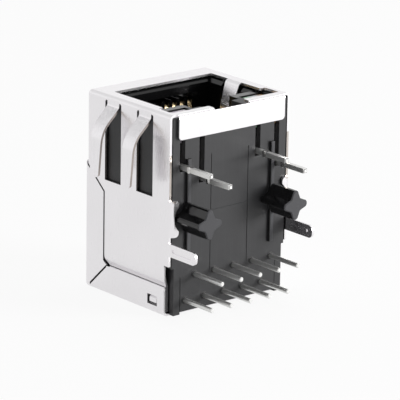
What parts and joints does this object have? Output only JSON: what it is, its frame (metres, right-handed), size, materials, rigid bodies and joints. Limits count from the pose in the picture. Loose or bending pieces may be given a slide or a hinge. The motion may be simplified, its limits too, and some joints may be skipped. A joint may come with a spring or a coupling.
{
  "type": "rj45 board jack",
  "caption": "Shielded network jack for a circuit board: folded metal shield with spring fingers, moulded port with status lights, locating pegs, ground tabs and signal pins.",
  "frame": {"origin": "on the mid-plane, where the moulding's board face meets the plane of the rear wall's outside", "axes": "+X across the port to the right as seen from the board's side, +Y away from the circuit board towards the cover, +Z out of the port; the jack stands on its rear wall"},
  "size_m": [0.0208, 0.0195, 0.0213],
  "materials": {
    "shield_sheet": "nickel-plated copper alloy sheet, satin",
    "black_moulding": "glass-filled thermoplastic, fine satin",
    "contact_gold": "gold plated phosphor bronze, polished",
    "tinned_wire": "tin plated copper alloy",
    "lens_resin": "clear moulded resin",
    "board_laminate": "green solder mask on glass laminate",
    "ferrite": "sintered, matt",
    "winding_wire": "enamelled copper wire",
    "resistor_body": "glazed film on ceramic",
    "capacitor_body": "sintered, matt"
  },
  "bodies": {
    "root": {"capacitor": "capacitor_body", "choke_core_1": "ferrite", "choke_core_2": "ferrite", "choke_core_3": "ferrite", "choke_core_4": "ferrite", "choke_winding_1": "winding_wire", "choke_winding_2": "winding_wire", "choke_winding_3": "winding_wire", "choke_winding_4": "winding_wire", "circuit_board": "board_laminate", "contact_1": "contact_gold", "contact_2": "contact_gold", "contact_3": "contact_gold", "contact_4": "contact_gold", "contact_5": "contact_gold", "contact_6": "contact_gold", "contact_7": "contact_gold", "contact_8": "contact_gold", "contact_carrier": "black_moulding", "front_housing": "black_moulding", "front_shield": "shield_sheet", "light_lead_left_1": "tinned_wire", "light_lead_left_2": "tinned_wire", "light_lead_right_1": "tinned_wire", "light_lead_right_2": "tinned_wire", "light_lens_left": "lens_resin", "light_lens_right": "lens_resin", "magnetics_case": "black_moulding", "rear_shield": "shield_sheet", "resistor_1": "resistor_body", "resistor_2": "resistor_body", "resistor_3": "resistor_body", "resistor_4": "resistor_body", "signal_pin_1": "tinned_wire", "signal_pin_10": "tinned_wire", "signal_pin_2": "tinned_wire", "signal_pin_3": "tinned_wire", "signal_pin_4": "tinned_wire", "signal_pin_5": "tinned_wire", "signal_pin_6": "tinned_wire", "signal_pin_7": "tinned_wire", "signal_pin_8": "tinned_wire", "signal_pin_9": "tinned_wire", "transformer_core_1": "ferrite", "transformer_core_2": "ferrite", "transformer_core_3": "ferrite", "transformer_core_4": "ferrite", "transformer_winding_1": "winding_wire", "transformer_winding_2": "winding_wire", "transformer_winding_3": "winding_wire", "transformer_winding_4": "winding_wire"}
  },
  "joints": []
}
